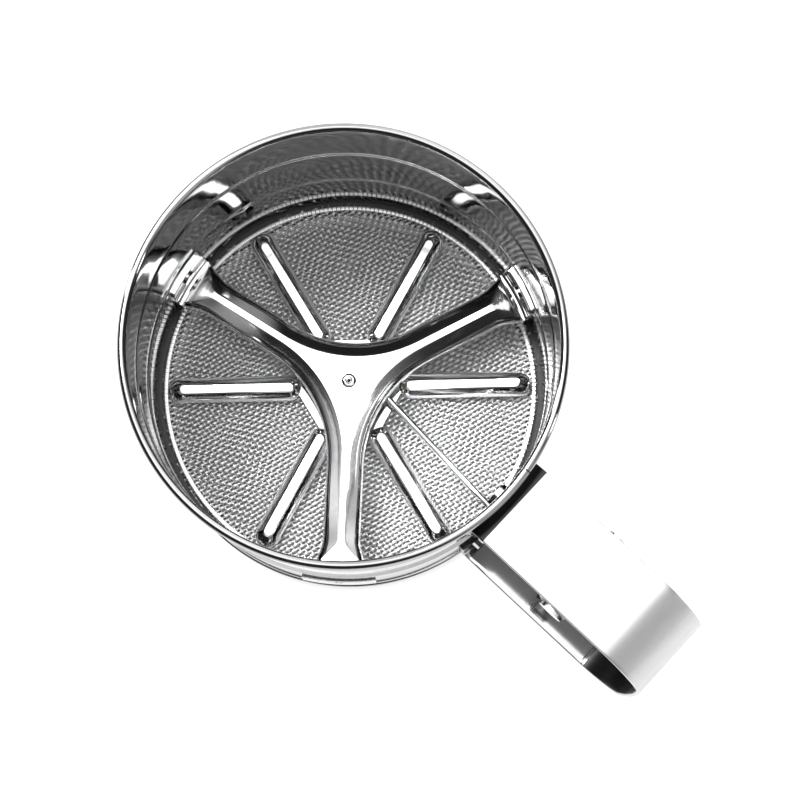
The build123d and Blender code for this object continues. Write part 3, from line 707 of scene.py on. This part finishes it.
def strap_finish_or_shade(face):
    """The finish of one face of the strap, by where it is and which way it looks; faces inside the loop, at the cup's
    end and on the lugs get darker copies of the steel as painted shade.
    """
    at = face.center / MM
    inward = (loop_middle - face.center).dot(face.normal) > 0 and abs(face.normal.y) < 0.5
    on_lug = abs(at.x - PIVOT_X) < EAR_R + 0.2 and 66.0 < at.z < 77.9
    at_cup_end = at.x < WALL_OUT + UP_BEND_R - 0.1 and at.z > 68.0
    above_low_leg = at.z > 12.0 and at.x > 53.0
    in_far_end = at.x > 94.0
    under_up_leg = at.z > 70.0 and 57.0 < at.x < 95.0
    if on_lug:
        return "handle_bend_shade"
    if at_cup_end:
        return "handle_cup_end_shade"
    if not inward:
        return "handle_outer"
    if above_low_leg or in_far_end:
        return "handle_inside_shade" if under_up_leg else "handle_bend_shade"
    return "handle_steel"


for face in strap.data.polygons:
    face.material_index = STRAP_FINISHES_AND_SHADES.index(strap_finish_or_shade(face))

# The spring is copied whole into a piece of its own, in place of its CAD node.
coiled = NODES["return_spring"]
spring = bpy.data.objects.new("torsion_spring", coiled.data.copy())
spring.matrix_world = coiled.matrix_world.copy()
bpy.context.scene.collection.objects.link(spring)
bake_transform(spring)
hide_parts("return_spring")

# ------------------------------------------------------ camera and light

IMAGE_WIDTH = 800.0
FOCAL_PIXELS = 2250.0
camera_data = bpy.data.cameras.new("camera")
camera_data.sensor_width = 36.0
camera_data.lens = FOCAL_PIXELS / IMAGE_WIDTH * camera_data.sensor_width
camera = bpy.data.objects.new("camera", camera_data)
bpy.context.scene.collection.objects.link(camera)
azimuth, elevation = math.radians(43.2), math.radians(82.0)
back = Vector((
    math.sin(azimuth) * math.cos(elevation),
    -math.cos(azimuth) * math.cos(elevation),
    math.sin(elevation),
))
camera.location = Vector((68.06, -53.3, 599.1)) * MM
camera.rotation_mode = "QUATERNION"
camera.rotation_quaternion = (-back).to_track_quat("-Z", "Y")
bpy.context.scene.camera = camera

bpy.ops.mesh.primitive_plane_add(size=6.0, location=(0, 0, -0.0002))
floor = bpy.context.object
floor.name = "floor"
floor.data.materials.append(floor_material())


def softbox(name, place, width, height, power):
    """A rectangular soft light that looks at the cup."""
    data = bpy.data.lights.new(name, "AREA")
    data.shape = "RECTANGLE"
    data.size = width
    data.size_y = height
    data.energy = power
    obj = bpy.data.objects.new(name, data)
    obj.location = place
    obj.rotation_mode = "QUATERNION"
    obj.rotation_quaternion = (CUP_MIDDLE - Vector(place)).to_track_quat("-Z", "Y")
    bpy.context.scene.collection.objects.link(obj)


CUP_MIDDLE = Vector((0.0, 0.0, 0.05))
softbox("overhead", (-0.05, 0.1, 1.6), width=1.0, height=1.0, power=7.5)
softbox("key", (-0.70, 0.02, 1.21), width=0.55, height=0.55, power=24.0)
softbox("left_strip", (-1.2, -0.4, 0.5), width=0.12, height=0.7, power=2.0)
softbox("right_strip", (1.2, 0.7, 0.6), width=0.12, height=0.7, power=2.0)

world = bpy.data.worlds.new("studio")
bpy.context.scene.world = world
world.use_nodes = True
sky = world.node_tree
direction = sky.nodes.new("ShaderNodeTexCoord")
split = sky.nodes.new("ShaderNodeSeparateXYZ")
sky.links.new(direction.outputs["Generated"], split.inputs["Vector"])
height = sky.nodes.new("ShaderNodeMapRange")
height.inputs["From Min"].default_value = -1.0
height.inputs["From Max"].default_value = 1.0
sky.links.new(split.outputs["Z"], height.inputs["Value"])
fade = sky.nodes.new("ShaderNodeValToRGB")
# Brightness of the surroundings, from straight down at 0 to straight up at 1
STOPS = [(0.0, 0.25), (0.5, 0.25), (0.56, 0.10), (0.7, 0.03), (1.0, 0.08)]
ends = fade.color_ramp.elements
for element, (at, value) in zip(list(ends), (STOPS[0], STOPS[-1])):
    element.position = at
    element.color = (value, value, value, 1)
for at, value in STOPS[1:-1]:
    ends.new(at).color = (value, value, value, 1)
sky.links.new(height.outputs["Result"], fade.inputs["Fac"])


def glow(total, azimuth_deg, elevation_deg, inner, outer, strength):
    """Adds a round soft light to the studio's surroundings, seen from every side."""
    a, e = math.radians(azimuth_deg), math.radians(elevation_deg)
    dot = sky.nodes.new("ShaderNodeVectorMath")
    dot.operation = "DOT_PRODUCT"
    dot.inputs[1].default_value = (math.cos(a) * math.cos(e), math.sin(a) * math.cos(e), math.sin(e))
    sky.links.new(direction.outputs["Generated"], dot.inputs[0])
    soft = sky.nodes.new("ShaderNodeMapRange")
    soft.interpolation_type = "SMOOTHSTEP"
    soft.inputs["From Min"].default_value = math.cos(math.radians(outer))
    soft.inputs["From Max"].default_value = math.cos(math.radians(inner))
    soft.inputs["To Max"].default_value = strength
    sky.links.new(dot.outputs["Value"], soft.inputs["Value"])
    add = sky.nodes.new("ShaderNodeVectorMath")
    add.operation = "ADD"
    sky.links.new(total, add.inputs[0])
    sky.links.new(soft.outputs["Result"], add.inputs[1])
    return add.outputs["Vector"]


# Azimuth, elevation, the angles within which each glow is full and beyond which it ends, and its strength
GLOWS = (
    (6, 66, 0, 22, 0.95),
    (6, 38, 0, 22, 0.85),
    (6, 10, 0, 22, 0.9),
    (138, 42, 28, 54, 1.6),
    (98, 36, 12, 34, 1.2),
)
total = fade.outputs["Color"]
for lobe in GLOWS:
    total = glow(total, *lobe)
sky.links.new(total, sky.nodes["Background"].inputs["Color"])
sky.nodes["Background"].inputs["Strength"].default_value = 1.0

bpy.context.scene.view_settings.view_transform = "Standard"
